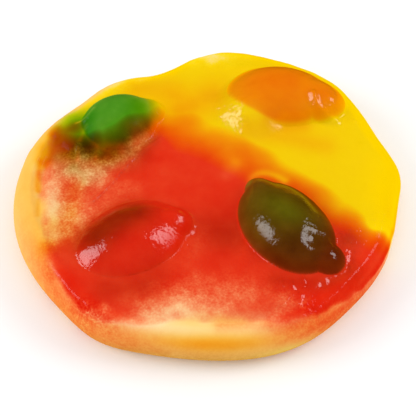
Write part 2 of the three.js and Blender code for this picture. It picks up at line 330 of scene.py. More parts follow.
def skin_height(x, y):
    degrees, inset = polar(x, y)
    inset = np.maximum(inset, 0)
    shoulder = bulb_height(x, y, ORANGE_SHOULDER, SHOULDER_ROUNDNESS)
    height = soft_max(level_skin(x, y), shoulder, SHOULDER_BLEND)
    reach = (edge_height(degrees, inset) + RISE_AT_EDGE * smoothstep(inset / EDGE_BAND)
             + RISE_INSIDE * smoothstep(inset / INNER_BAND))
    for topping in TOPPINGS.values():
        drop = -soft_max(-topping_height(x, y, topping), -reach, CROWN_BLEND)
        height = soft_max(height, drop, topping["fillet"])
    return height


for name, topping in TOPPINGS.items():
    print(name, "topping stands", round(float(skin_height(*topping["bulbs"][0][0])), 2), "mm high")

# %% [markdown]
# ## One closed body
# A square grid is pulled out into a disc, so that its cells stay nearly even from the middle to
# the rim. A polar grid would crowd its points in the middle. From the rim, rings go down over
# the edge and the waist to the flat underside. The fine relief moves each point along the
# normal of the plain form, so it works on the wall as well as on top.

# %% The uncut sweet
SKIN_CELLS = 140
EDGE_STEPS = 26
FOOT_STEPS = 10


def disc_corners(cells):
    """Angle and share of the way out for every corner of a square grid pulled into a disc."""
    i, j = np.mgrid[-cells:cells + 1, -cells:cells + 1].astype(float)
    ring = np.maximum(np.abs(i), np.abs(j))
    wide = np.abs(i) >= np.abs(j)
    safe_i, safe_j = np.where(i == 0, 1, i), np.where(j == 0, 1, j)
    eighths = np.where(wide, np.where(i > 0, 0, 4) + j / safe_i,
                       np.where(j > 0, 2, 6) - i / safe_j)
    return np.where(ring == 0, 0, 45 * eighths), ring / cells


def mesh_object(name, points, faces):
    """A new object in the scene, from faces and points in millimetres."""
    mesh = bpy.data.meshes.new(name)
    mesh.from_pydata((np.array(points) * MM).tolist(), [], faces)
    made = bpy.data.objects.new(name, mesh)
    bpy.context.scene.collection.objects.link(made)
    return made


def closed_mesh(name, cells, sheet, rings):
    """A closed mesh: a top sheet, rings down its side and a flat underside at the last ring."""
    degrees, share = disc_corners(cells)
    side = 2 * cells + 1
    index = np.arange(side * side).reshape(side, side)
    points = [np.stack(np.broadcast_arrays(*sheet(degrees, share)), -1).reshape(-1, 3)]
    quads = [np.stack([index[:-1, :-1], index[1:, :-1], index[1:, 1:], index[:-1, 1:]],
                      -1).reshape(-1, 4)]
    border = np.nonzero(np.isclose(share, 1).reshape(-1))[0]
    border = border[np.argsort(degrees.reshape(-1)[border] % 360)]
    border_degrees = degrees.reshape(-1)[border] % 360
    count = side * side
    for ring in rings:
        points.append(np.stack(np.broadcast_arrays(*ring(border_degrees)), -1))
        lower = count + np.arange(len(border))
        quads.append(np.stack([border, lower, np.roll(lower, -1), np.roll(border, -1)], -1))
        border, count = lower, count + len(lower)
    faces = np.concatenate(quads).tolist() + [border[::-1].tolist()]
    made = mesh_object(name, np.concatenate(points), faces)
    made.data.validate()
    return made


def proud_point(degrees, inset, height, leaning, relief):
    """A point moved out along the normal of the plain form."""
    x, y = plan_point(degrees, inset - relief * np.cos(leaning))
    return x, y, height + relief * np.sin(leaning)


def skin_point(degrees, inset):
    x, y = plan_point(degrees, inset)
    return proud_point(degrees, inset, skin_height(x, y), lean(inset), fine_relief(x, y, inset))


def skin_sheet(degrees, share):
    return skin_point(degrees, EDGE_ROUND + (outline(degrees) - EDGE_ROUND) * (1 - share))


def edge_ring(step):
    leaning = np.pi / 2 * step / EDGE_STEPS
    return lambda degrees: skin_point(degrees, EDGE_ROUND * (1 - np.cos(leaning)))


def foot_ring(step):
    leaning = np.pi / 2 * step / FOOT_STEPS
    inset, height = FOOT_ROUND * (1 - np.cos(leaning)), WAIST_HEIGHT * (1 - np.sin(leaning))
    return lambda degrees: (*plan_point(degrees, inset), height)


uncut = closed_mesh("uncut_sweet", SKIN_CELLS, skin_sheet,
                    [edge_ring(step) for step in range(EDGE_STEPS - 1, -1, -1)]
                    + [foot_ring(step) for step in range(1, FOOT_STEPS + 1)])
print("uncut sweet:", len(uncut.data.polygons), "faces")

# %% [markdown]
# ## Where foam and jelly part
# The pool of jelly lies in a shallow bowl of foam. It ends on the skin along a seam: low on the
# wall at the back and right, and further in at the left and front, where the foam shows as the
# crust. In two places the foam bulges up under the jelly. That bulge isn't what pales the skin
# there: the paler colour is listed further down. The shape below is all the space on the
# foam's side, and cuts the body in two.

# %% Foam space
SEAM_INSET = 0.03
SEAM_LOBES = [(140, 16, 1.3), (188, 18, 3.25), (272, 20, 2.8)]
SEAM_DEPTH = 0.8
POOL_FLOOR = 3.0
POOL_SLOPE = 4.0
JELLY_LEAST = 1.0
FOAM_BULGES = [  # x, y, reach, rise
    (-16.8, -0.6, 4.2, 2.4), (-11.4, 2.6, 2.8, 1.8), (-1.0, -17.4, 5.5, 2.6),
    (2.4, -14.6, 3.2, 1.8),
]
POOL_CELLS = 30
CUTTER_PROUD, CUTTER_OUT = 2, 6  # the cutters reach past the skin, so no cut ends on it
BELOW_ALL, BEHIND_ALL = -2, 30


def seam_inset(degrees):
    return SEAM_INSET + sum(lobe(degrees, *swelling) for swelling in SEAM_LOBES)


def seam_point(degrees, outward):
    inset = seam_inset(degrees)
    leaning = lean(inset)
    height = level_skin(*plan_point(degrees, inset))
    return proud_point(degrees, inset, height, leaning, outward)


def pool_floor(degrees, share):
    foot_x, foot_y, foot_z = seam_point(degrees, -SEAM_DEPTH)
    foot_inset = polar(foot_x, foot_y)[1]
    inward = (outline(degrees) - foot_inset) * (1 - share)
    x, y = plan_point(degrees, foot_inset + inward)
    deep = smoothstep(inward / POOL_SLOPE)
    rise = sum(b[3] * bell(np.hypot(x - b[0], y - b[1]), b[2]) for b in FOAM_BULGES)
    height = foot_z * (1 - deep) + POOL_FLOOR * deep + rise * deep
    return x, y, np.minimum(height, level_skin(x, y) - JELLY_LEAST * deep)


def far_out(height):
    return lambda degrees: (*plan_point(degrees, -CUTTER_OUT), height(degrees))


foam_space = closed_mesh("foam_space", POOL_CELLS, pool_floor, [
    lambda degrees: seam_point(degrees, 0),
    lambda degrees: seam_point(degrees, CUTTER_PROUD),
    far_out(lambda degrees: seam_point(degrees, CUTTER_PROUD)[2]),
    far_out(lambda degrees: BELOW_ALL + 0 * degrees),
])
print("the seam runs", round(float(seam_inset(188)), 1), "mm inside the waist on the left")

# %% [markdown]
# ## Where yellow meets red, and the sockets of the toppings
# The two jellies were poured side by side. The border is a line in plan, so an upright block
# with that line as its edge parts them. A topping's cutter is an upright oval as wide as the
# drop, so it takes the inner part of the fillet too, and below that a shallow bowl, where the
# drop sank in.

# %% Cutters for the jelly and the toppings
COLOUR_BORDER = [(-27, 8.4), (-18, 6.6), (-13, 5.4), (-9, 7.6), (-6, 9.6), (-1, 7.4),
                 (6.3, 3.3), (11.2, 0.1), (15.5, -4.5), (20, -6.9), (27, -6.4)]
ABOVE_ALL = 14.0
BOWL_STEPS, BOWL_AROUND = 8, 96


def upright_block(name, corners):
    """An upright block on any plan, given anticlockwise."""
    count = len(corners)
    low = np.column_stack([corners, np.full(count, float(BELOW_ALL))])
    high = np.column_stack([corners, np.full(count, ABOVE_ALL)])
    sides = [[n, (n + 1) % count, count + (n + 1) % count, count + n] for n in range(count)]
    faces = [list(range(count))[::-1], list(range(count, 2 * count)), *sides]
    return mesh_object(name, np.concatenate([low, high]), faces)


def socket_cutter(name, bulb):
    """Upright oval above the widest level of a drop, and a bowl below it."""
    (x, y), (along, across), turn, _ = bulb
    middle, count = TOP_HEIGHT - SUNK, BOWL_AROUND
    angle = np.linspace(0, 2 * np.pi, count, endpoint=False)
    turned = np.radians(turn)
    rings = [(1, ABOVE_ALL)] + [(np.cos(a), middle - TOPPING_DEPTH * np.sin(a))
                                for a in np.linspace(0, np.pi / 2, BOWL_STEPS + 1)[:-1]]
    points = []
    for size, z in rings:
        u, v = size * along * np.cos(angle), size * across * np.sin(angle)
        points.append(np.column_stack([x + u * np.cos(turned) - v * np.sin(turned),
                                       y + u * np.sin(turned) + v * np.cos(turned),
                                       np.full(count, z)]))
    points = np.concatenate([*points, [[x, y, middle - TOPPING_DEPTH]]])
    faces = [list(range(count))]
    for ring in range(len(rings) - 1):
        for n in range(count):
            a, b = ring * count + n, ring * count + (n + 1) % count
            faces.append([a, a + count, b + count, b])
    last = (len(rings) - 1) * count
    faces += [[last + n, len(points) - 1, last + (n + 1) % count] for n in range(count)]
    return mesh_object(name, points, faces)


border_line = smooth_path(COLOUR_BORDER, 12)
behind = [(COLOUR_BORDER[-1][0], BEHIND_ALL), (COLOUR_BORDER[0][0], BEHIND_ALL)]
yellow_space = upright_block("yellow_space", np.concatenate([border_line, behind]))
print("colour border:", len(border_line), "points")

# %% [markdown]
# ## Cutting the sweet into its pieces
# A Boolean modifier with the Manifold solver is fast and keeps closed meshes closed. Each cut
# is made twice, once keeping what is inside the cutter and once what is outside, so that the
# two sides fit each other.

# %% Cutting
def applied_copy(source, name, *cuts):
    """A copy of a mesh after a series of cuts, each an operation and a cutter."""
    made = source.copy()
    made.data = source.data.copy()
    made.name = made.data.name = name
    bpy.context.scene.collection.objects.link(made)
    for operation, cutter in cuts:
        cut = made.modifiers.new(operation, "BOOLEAN")
        cut.operation, cut.solver, cut.object = operation, "MANIFOLD", cutter
    shaped = bpy.data.meshes.new_from_object(
        made.evaluated_get(bpy.context.evaluated_depsgraph_get()))
    made.modifiers.clear()
    made.data = shaped
    return made


cutters, rest, pieces = [foam_space, yellow_space], uncut, {}
for name, topping in TOPPINGS.items():
    spaces = [socket_cutter(name + "_space", bulb) for bulb in topping["bulbs"]]
    socket = applied_copy(spaces[0], name + "_space", *[("UNION", other) for other in spaces[1:]])
    pieces["topping_" + name] = applied_copy(uncut, "topping_" + name, ("INTERSECT", socket))
    rest = applied_copy(rest, "rest", ("DIFFERENCE", socket))
    cutters += [*spaces, socket, rest]
pieces["crust_base"] = applied_copy(rest, "crust_base", ("INTERSECT", foam_space))
pieces["jelly_yellow"] = applied_copy(rest, "jelly_yellow", ("DIFFERENCE", foam_space),
                                      ("INTERSECT", yellow_space))
pieces["jelly_red"] = applied_copy(rest, "jelly_red", ("DIFFERENCE", foam_space),
                                   ("DIFFERENCE", yellow_space))
for name, piece in pieces.items():
    print(name, len(piece.data.polygons), "faces")

# %% [markdown]
# ## One skin again
# A cut piece would work out its shading from its own faces only, and a highlight would break
# where it crosses a seam. A Data Transfer modifier lends the cut rim of each piece the normals
# of the uncut body, which is smooth there, so light runs over the seams as on the real sweet.

# %% Borrowed normals
CUT_ANGLE = 50  # degrees; an edge this sharp is a cut and not a fold of the skin


def shade_like_uncut(piece):
    piece.data.shade_smooth()
    piece.data.set_sharp_from_angle(angle=np.radians(CUT_ANGLE))
    points = np.empty(len(piece.data.vertices) * 3)
    piece.data.vertices.foreach_get("co", points)
    sharp = {v for edge in piece.data.edges if edge.use_edge_sharp for v in edge.vertices}
    rim = piece.vertex_groups.new(name="cut_rim")
    rim.add(list(sharp), 1, "REPLACE")
    borrow = piece.modifiers.new("borrowed normals", "DATA_TRANSFER")
    borrow.object = uncut
    borrow.use_loop_data = True
    borrow.data_types_loops = {"CUSTOM_NORMAL"}
    borrow.loop_mapping = "POLYINTERP_NEAREST"
    borrow.vertex_group = rim.name
    piece.data = bpy.data.meshes.new_from_object(
        piece.evaluated_get(bpy.context.evaluated_depsgraph_get()))
    piece.modifiers.clear()
    return len(sharp)


uncut.data.shade_smooth()
for name, piece in pieces.items():
    print(name, shade_like_uncut(piece), "points on its cut rims")

# %% [markdown]
# ## How much jelly lies over the foam
# In the real sweet light goes down through the jelly, comes back from the cream foam, and each
# millimetre of jelly takes its share of it on the way. So each point gets the millimetres of
# each jelly above the foam, kept as attributes of the mesh. Thin jelly near the seam is pale,
# thick jelly is deep, and green jelly over red turns brown. That rule alone gives an even sweet,
# and a real one is patchy, so the pale and the deep places below were set one by one.

# %% Where the pool is thin, and where it is thick
FULL_DEPTH = 3.45
# Most of these are thin jelly over the foam; the places marked below are painted highlights and
# painted sheen.
PALE = [  # where foam shows through: place, half lengths, turn, how much of the jelly is gone
    ((-18.9, -4.8), (1.0, 3.0), 3, 0.90), ((-19.0, -1.4), (0.9, 1.4), 0, 0.50),
    ((-19.1, 1.0), (0.9, 1.3), 0, 0.45), ((-18.9, -8.0), (0.9, 1.0), 0, 0.45),
    ((-16.6, -5.0), (1.2, 1.6), 0, 0.65), ((-15.2, -4.4), (1.5, 2.2), 20, 0.35),
    ((-16.4, 1.7), (1.4, 1.3), 5, 0.74), ((-15.2, 0.2), (0.7, 1.3), -5, 0.66),
    ((-16.4, 4.0), (1.6, 0.7), 0, 0.45), ((-13.4, 0.9), (1.3, 1.4), 20, 0.62),
    ((-12.6, 3.0), (1.3, 0.7), 20, 0.45), ((-10.0, 4.6), (1.5, 0.7), 35, 0.42),
    ((-7.9, 6.3), (1.1, 0.6), 40, 0.42), ((-9.9, -1.0), (1.6, 0.7), 15, 0.24),
    ((-9.8, 3.2), (0.9, 0.6), 30, 0.30), ((-12.8, -18.8), (1.6, 0.7), -25, 0.60),
    ((-14.2, -17.8), (1.4, 0.6), -40, 0.25), ((-1.4, -14.5), (1.2, 0.7), 0, 0.22),
    ((-12.6, -3.0), (2.2, 1.2), 20, 0.20), ((-17.0, -7.9), (0.9, 0.9), 0, 0.35),
    ((-17.0, -1.2), (0.8, 1.4), 0, 0.30), ((-3.2, -18.5), (2.3, 1.3), -5, 0.80),
    ((-6.8, -19.3), (2.0, 0.6), 0, 0.60), ((-7.4, -17.9), (1.8, 0.7), -15, 0.32),
    ((-4.6, -16.6), (1.8, 1.1), -20, 0.28), ((3.6, -17.8), (1.6, 0.9), 0, 0.20),
    ((0.8, -17.0), (3.4, 1.5), 5, 0.36), ((-2.6, -15.9), (1.6, 1.2), -30, 0.18),
    # Painted highlights: the second place here and both on the next line are pink glints on the front
    # jelly.
    ((3.8, -15.4), (3.4, 1.5), -10, 0.26), ((8.7, -17.2), (0.9, 0.9), 0, 0.42),
    ((10.9, -17.6), (0.9, 0.8), 0, 0.50), ((7.7, -19.0), (1.0, 0.5), 10, 0.40),
    # The second place here and the first on the next line pale the back edge: partly foam under thin
    # jelly, partly painted sheen.
    ((-1.7, -9.6), (1.0, 2.4), -28, 0.14), ((0.6, 20.3), (2.6, 1.1), 0, 0.88),
    ((-12.2, 15.9), (2.8, 1.0), 26, 0.85), ((-8.0, 17.0), (1.6, 0.5), 20, 0.30),
]
DEEP = [  # where it is thicker
    ((1.6, -6.5), (2.4, 4.5), 0, 0.22), ((-9.0, -15.4), (5.5, 1.5), 5, 0.12),
    ((10.5, -15.6), (4.0, 1.4), -10, 0.20), ((-7.2, 4.0), (1.0, 1.0), 0, 0.12),
    ((13.0, -17.6), (2.0, 0.8), 35, 0.3),
]


def skin_way(inset, height):
    """The way from the waist over the edge to a point, along the skin."""
    over = EDGE_ARC * lean(inset) / (np.pi / 2) + np.maximum(inset - EDGE_ROUND, 0)
    return np.where(height >= WAIST_HEIGHT, over, height - WAIST_HEIGHT)


def patches(x, y, places):
    """One, raised or lowered at each place by its share."""
    total = np.ones(np.shape(x))
    for at, halves, turn, share in places:
        total = total * (1 + share * bell(oval(x, y, at, halves, turn), 1))
    return total


print(len(PALE), "pale places,", len(DEEP), "deep ones")

# %% [markdown]
# ## Where the dyes wandered
# Warm jelly drags its dye along. Each stroke follows a short path over the skin, each band runs
# along the edge, and both add millimetres of one dye or take some away. All were placed by hand
# after a photograph of one real sweet, and a small program that told how much dye its colours
# ask for helped with the amounts. An image could hold such marks too, but strokes can be moved
# one by one. A few stand for light rather than dye, such as the dark crescent on the red
# topping, so they stay where they are when the light moves.

# %% Stains: strokes and bands with more or less of one dye
# Painted light among the strokes and bands below: painted shade in the crescent on the red topping,
# below the red and the dark toppings, in the dip beside the dark one and on the front foot; painted
# highlights beside the green topping, on the lips and at the right rim; a painted glow round the tip
# of the dark topping. Each is marked where it stands.
STAINS = [  # dye, path, width, millimetres
    ("green", [(-15.4, 9.6), (-15.2, 5.6)], 1.0, 2.6),
    ("green", [(-17.3, 8.8), (-17.0, 4.6)], 1.0, 1.9),
    ("green", [(-14.8, 5.2), (-12.8, 4.6), (-10.6, 5.4)], 0.8, 2.2),
    ("green", [(-16.8, 2.6), (-13.2, 2.6)], 1.0, 0.7),
    ("green", [(-11.2, 4.2), (-9.4, 4.6), (-7.3, 6.4)], 0.8, 0.9),
    ("green", [(-11.6, 3.0), (-9.6, 2.6), (-8.0, 4.0)], 0.9, 0.4),
    ("green", [(-18.7, 7.8), (-19.0, 4.0)], 0.8, 1.0),
    ("green", [(-15.6, 6.4), (-15.2, 4.2), (-13.4, 4.2)], 0.7, 1.3),
    ("green", [(-16.6, 8.0), (-16.6, 6.4)], 1.0, 1.0),
    ("red", [(-16.6, 7.6), (-16.2, 6.0)], 0.8, 0.5),
    ("green", [(-10.6, 4.9), (-9.4, 6.0), (-8.4, 7.2)], 0.6, -0.9),
    # Painted highlight: this stroke and its yellow twin further down pale a streak beside the green
    # topping.
    ("green", [(-16.5, 8.6), (-15.4, 9.1), (-14.4, 10.1)], 0.2, -2.4),
    ("green", [(-18.2, 2.0), (-15.0, 0.4)], 1.2, 0.4),
    ("green", [(-17.4, 10.4), (-16.6, 9.6)], 0.8, 0.8),
    ("green", [(-15.3, 7.8), (-15.9, 5.8)], 0.22, -1.7),
    ("green", [(-16.1, 4.9), (-16.2, 3.4)], 0.2, -0.8),
    ("green", [(-13.9, 5.2), (-14.0, 3.6)], 0.2, -0.8),
    # Painted shade: this stroke darkens the crescent on the upper left of the red topping.
    ("green", [(-13.2, -9.0), (-9.2, -6.0)], 1.7, 2.0),
    # Painted shade: the first stroke here darkens the jelly below the red topping; the second, with
    # the last stroke on the next line, darkens the dip beside the dark topping.
    ("green", [(-12.0, -15.6), (-8.0, -15.4)], 1.3, 0.45), ("green", [(2.0, -8.0)], 1.6, 0.5),
    ("green", [(-6.0, -13.6)], 1.4, 0.3), ("green", [(0.4, -6.0)], 2.0, 0.3),
    # Painted shadow: this stroke darkens the jelly just below the dark topping.
    ("green", [(8.0, -14.4), (14.0, -14.6), (17.2, -12.8)], 0.8, 0.4),
    ("green", [(17.0, -8.6)], 0.9, 0.7), ("green", [(-18.6, -9.4), (-17.4, -2.0)], 1.2, 0.2),
    ("yellow", [(-17.4, 4.8), (-13.2, 4.7), (-10.0, 6.2), (-7.8, 8.6)], 1.0, 1.1),
    ("yellow", [(-20.0, 5.0), (-20.3, 3.4)], 0.6, 0.6),
    ("yellow", [(-16.4, -1.0), (-17.0, -9.0)], 0.9, 0.3),
    ("yellow", [(-18.6, 7.6)], 0.8, -0.6),
    ("yellow", [(-15.6, 5.4), (-15.4, 4.2)], 0.7, -0.8),
    ("yellow", [(-10.4, 5.2), (-8.8, 6.8)], 0.7, -0.6),
    # Painted highlight: with the green stroke above, this pales the streak beside the green topping.
    ("yellow", [(-16.5, 8.6), (-15.4, 9.1), (-14.4, 10.1)], 0.2, -2.4),
    ("yellow", [(9.6, -5.0)], 3.0, 0.7),
    # The second stroke here adds to the painted shade of the crescent on the red topping.
    ("yellow", [(-8.2, 10.6)], 1.2, 0.7), ("yellow", [(-13.6, -8.6), (-10.0, -6.0)], 1.4, 0.4),
    # These three amber strokes make a darker line down the groove of the left crust.
    ("amber", [(-18.9, 7.8), (-20.0, 5.6), (-20.5, 3.2)], 0.6, 1.8),
    ("amber", [(-20.8, 3.2), (-21.0, 0.6), (-20.9, -1.2)], 0.22, 1.2),
    ("amber", [(-20.8, -2.6), (-20.7, -5.0)], 0.2, 0.5),
    ("amber", [(7.6, 9.0), (9.8, 8.6), (12.0, 8.7)], 0.7, 0.9),
    ("amber", [(-19.2, -9.6)], 0.8, 1.3), ("amber", [(-19.0, -6.6)], 1.1, 0.5),
    # Painted glow: this stroke and a red one further down brighten a ring round the tip of the dark
    # topping.
    ("amber", [(5.0, -0.8), (5.4, 0.6), (6.6, 1.3), (8.1, 1.0), (9.4, 0.2)], 0.4, 0.35),
    ("red", [(-19.1, 5.6), (-18.8, 3.0)], 0.8, -0.7),
    ("red", [(-18.6, 7.2), (-17.8, 7.2), (-16.9, 7.8)], 0.8, 1.1),
    ("red", [(-12.4, 4.0)], 0.7, 0.3),
    ("red", [(-20.0, 6.2), (-20.6, 4.0), (-20.9, 2.8)], 0.6, -1.5),
    ("red", [(-13.4, 5.0), (-10.2, 6.0), (-8.6, 7.2)], 0.7, -1.0),
    ("red", [(-17.2, -0.6), (-17.0, -2.2)], 0.6, 0.5),
    ("red", [(-18.8, -10.2), (-17.7, -13.4), (-15.4, -16.4), (-13.4, -17.6)], 0.8, 1.0),
    ("red", [(1.5, -20.2), (8.5, -20.0)], 0.6, 0.5),
    ("red", [(9.5, -19.2), (12.5, -17.6)], 0.7, 1.0),
    # Painted glow: less red in a ring round the tip of the dark topping, with the amber stroke above.
    ("red", [(5.0, -0.8), (5.4, 0.6), (6.6, 1.3), (8.1, 1.0), (9.4, 0.2)], 0.42, -1.3),
    # The second stroke here is partly less red jelly at the right rim, partly a painted highlight on
    # it.
    ("red", [(2.2, 1.2), (3.4, 2.6)], 0.8, -0.9), ("red", [(20.2, -6.3), (22.0, -6.9)], 0.8, -1.4),
    # Painted highlight: less red gives a pale pink lip at the front left.
    ("red", [(-17.9, -14.0), (-17.2, -15.2), (-16.3, -16.4)], 0.35, -0.9),
    ("red", [(7.4, -19.7), (9.4, -19.4)], 0.6, 0.6),
    ("red", [(-2.4, 12.2), (0.6, 13.6)], 1.8, 0.4), ("red", [(-9.0, 14.6), (-5.0, 14.6)], 1.4, 0.3),
    ("red", [(5.0, 7.6), (10.0, 6.8), (14.6, 5.6)], 1.0, 0.25), ("red", [(-4.0, 10.4)], 1.4, 0.3),
    ("red", [(-6.0, -14.2), (-4.0, -14.4)], 1.0, 0.6), ("red", [(10.4, -15.8)], 1.2, 0.8),
]
BANDS = [  # dye, angle, spread, way over the edge, width, millimetres
    ("amber", 271, 11, 2.0, 0.6, 1.2), ("amber", 266, 20, -0.6, 1.6, -0.4),
    ("amber", 268, 22, 3.9, 0.8, -0.6), ("amber", 254, 10, 2.8, 0.9, -0.45),
    ("amber", 290, 9, 2.9, 0.9, -0.35),
    ("amber", 100, 60, 0.6, 1.5, -0.9), ("amber", 0, 45, 0.6, 1.5, -0.9),
    # Painted shade: the first band here darkens the foot of the front wall, which faces down.
    ("green", 268, 26, -1.0, 1.2, 0.6), ("red", 226, 12, 1.5, 2.2, 0.55),
    ("red", 243, 8, 1.4, 1.4, 0.35), ("red", 298, 8, 1.8, 1.8, 0.3),
    ("red", 268, 26, -0.6, 1.4, 0.4), ("red", 208, 10, 2.0, 1.6, 0.3),
    ("amber", 205, 14, 1.6, 2.0, -0.3), ("amber", 180, 16, 1.6, 2.2, -0.1),
    ("amber", 232, 12, 1.6, 2.2, -0.3), ("red", 322, 14, 0.6, 1.5, 1.8),
    # Partly thinner jelly over the right lip, partly a painted highlight along it.
    ("red", 322, 14, 1.9, 0.4, -1.3),
    ("red", 308, 9, 2.2, 1.1, 1.3), ("red", 226, 9, 2.8, 0.9, 0.9), ("red", 240, 20, 0.2, 1.2, 0.2),
    ("red", 185, 30, 1.6, 2.0, 0.12), ("red", 296, 7, -0.2, 0.9, -0.6),
]


def stained(name, x, y, degrees, way):
    total = 0
    for dye, path, width, amount in STAINS:
        if dye == name:
            total = total + amount * bell(path_distance(x, y, smooth_path(path))[0], width)
    for dye, at, spread, middle, width, amount in BANDS:
        if dye == name:
            total = total + lobe(degrees, at, spread, amount) * bell(way - middle, width)
    return total


print(len(STAINS), "stains,", len(BANDS), "bands")

# %% [markdown]
# ## The pool of jelly
# The pool deepens from the seam inwards, more slowly where the crust is broad. Red gives way to
# yellow over 2 mm on the left and about 6 mm in the middle. A sharp border would be easier, but
# two warm jellies that touch always mix a little.

# %% The pool and its two colours
WANDER, WANDER_HILLS = 0.3, 2.6  # how far pale and deep places stray, and the way between hills
SEAM_WANDER, SEAM_HILLS = 0.15, 3.1
BORDER_WANDER, BORDER_HILLS = 0.42, 5.0
SEAM_RAMP, CRUST_RAMP = 0.3, 1.0  # how slowly the pool deepens, and how much slower at a crust
BROAD_CRUST = 1.5  # a crust this wide counts as broad
POOL_CURVE = 1.4
BLEND_WIDTH, MIDDLE_WIDTH = 2, 4.2  # how wide red turns yellow, and what the middle adds
BLEND_SHIFT, MIDDLE_SHIFT = 1, 1.2  # how far that reaches over the border
MIDDLE_FROM, MIDDLE_OVER = -9, 6
RIGHT_FROM, RIGHT_OVER, RIGHT_LESS = 6, 8, 0.35


def pool_depth(x, y, degrees, past_seam):
    """Depth of the pool, and the share of it that the pale places leave."""
    wander_x = x + WANDER * ripples(x, y, WANDER_HILLS, seed=21)
    wander_y = y + WANDER * ripples(x, y, WANDER_HILLS, seed=22)
    ramp = SEAM_RAMP + CRUST_RAMP * smoothstep(seam_inset(degrees) / BROAD_CRUST)
    pool = FULL_DEPTH * (1 - np.exp(-(np.maximum(past_seam, 0) / ramp) ** POOL_CURVE))
    thin_and_sheen = patches(wander_x, wander_y, [(*place, -share) for *place, share in PALE])
    return pool * thin_and_sheen * patches(wander_x, wander_y, DEEP), thin_and_sheen


def share_of_red(x, y):
    """1 in the red jelly and 0 in the yellow, with a soft change between them."""
    away, side = path_distance(x, y, COLOUR_BORDER)
    middle = (smoothstep((x - MIDDLE_FROM) / MIDDLE_OVER)
              - RIGHT_LESS * smoothstep((x - RIGHT_FROM) / RIGHT_OVER))
    uneven_border = away * side + BORDER_WANDER * ripples(x, y, BORDER_HILLS, seed=31)
    return np.clip((BLEND_SHIFT + MIDDLE_SHIFT * middle - uneven_border)
                   / (BLEND_WIDTH + MIDDLE_WIDTH * middle), 0, 1)


print("share of red at the middle:", round(float(share_of_red(*OUTLINE_CENTRE)), 2))

# %% [markdown]
# ## The jelly of the toppings
# A topping adds its own thickness, which thins out at its rim. The orange and the green one melt
# away towards the front, and the green one also at the end of its knob. The dark one is green
# jelly with red in and under it, which together give a dark olive brown. How thick each is could
# be measured on the mesh, but the ovals that shape the toppings give it with less work.

# %% How thick the toppings are
ORANGE_SIDES = (0.4, 0.05), (0.3, 0.22)  # power and melted, of the crisp side and the low side
GREEN_SIDES = (0.3, 0.06), (0.5, 0.4)
RED_SIDE, DARK_SIDE = (0.5, 0.05), (0.2, 0.05)
ORANGE_LOW = ((9.3, 11.5), -100, 4)  # place, heading and softness, for `towards`
GREEN_LOW = ((-11.6, 6.6), -61, 3.0)
KNOB_END, KNOB_FADES = ((-7.0, 10.4), 10, 3.0), 0.95
DARK_LOW = ((10.4, -9.4), -70, 5)
# Painted glow: the middle of the dark topping is painted with less red, where light glows through it.
DARK_PAINTED_GLOW = ((9.2, -6.4), (3.0, 1.3), -38)  # place, half lengths, turn
DARK_RIM, DARK_FULL = 0.3, 2.2
GREEN_STRENGTH = 1.12
GREEN_IN_DARK, GREENER_BELOW = 0.87, 0.1
RED_IN_DARK, REDDER_RIM, REDDER_BELOW, PALER_PAINTED_GLOW = 2.3, 0.4, 1.0, 0.6


def topping_depth(x, y, bulbs, power, melted):
    """How thick a drop is. It thins out to its rim, and melts away where melted is high."""
    depth = 0
    for at, halves, turn, top in bulbs:
        thick = top - TOP_HEIGHT + SUNK + TOPPING_DEPTH
        inside = np.maximum(1 - oval(x, y, at, halves, turn) ** 2, 0)
        depth = np.maximum(depth, thick * inside ** power * smoothstep(inside / melted))
    return depth


def two_sided_depth(x, y, bulbs, sides, low):
    """Thickness of a drop that is crisp on one side, and melts away where low is 1."""
    crisp, melting = [topping_depth(x, y, bulbs, *side) for side in sides]
    return crisp * (1 - low) + melting * low


def towards(x, y, at, heading, soft):
    """0 to 1, from behind a place to in front of it, in a heading."""
    along = ((x - at[0]) * np.cos(np.radians(heading))
             + (y - at[1]) * np.sin(np.radians(heading)))
    return smoothstep(0.5 + along / soft)


def orange_jelly(x, y):
    low = towards(x, y, *ORANGE_LOW)
    return two_sided_depth(x, y, TOPPINGS["orange"]["bulbs"], ORANGE_SIDES, low)


def green_jelly(x, y):
    """Green of the crown and the knob. The low tail has none but what the strokes add."""
    low = towards(x, y, *GREEN_LOW)
    bulbs = TOPPINGS["green"]["bulbs"][:2]
    green = GREEN_STRENGTH * two_sided_depth(x, y, bulbs, GREEN_SIDES, low)
    return green * (1 - KNOB_FADES * towards(x, y, *KNOB_END))


def dark_jelly(x, y):
    """Green in the dark topping, red in and under it, and how far inside it a point is."""
    bulbs = TOPPINGS["dark_green"]["bulbs"]
    dark = topping_depth(x, y, bulbs, *DARK_SIDE)
    # The glow here is painted: less red in the middle of the dark topping.
    painted_glow = bell(oval(x, y, *DARK_PAINTED_GLOW), 1)
    rim = 1 - smoothstep((1 - oval(x, y, *bulbs[0][:3])) / DARK_RIM)
    lower = towards(x, y, *DARK_LOW)
    green = (GREEN_IN_DARK + GREENER_BELOW * lower) * dark
    red = RED_IN_DARK + REDDER_RIM * rim + REDDER_BELOW * lower - PALER_PAINTED_GLOW * painted_glow
    return green, red, smoothstep(dark / DARK_FULL)


print("orange topping:", round(float(orange_jelly(9.3, 13.4)), 1), "mm of jelly in its middle")

# %% [markdown]
# ## Where the sweet shines
# The top is glossy and the foam is less so. Some places are dull and some lips glossy, as
# listed. The gloss also fades on steep flanks, the same in every direction. A real skin does no
# such thing; here it hides the dark rims that come from a sky which reflections don't see.

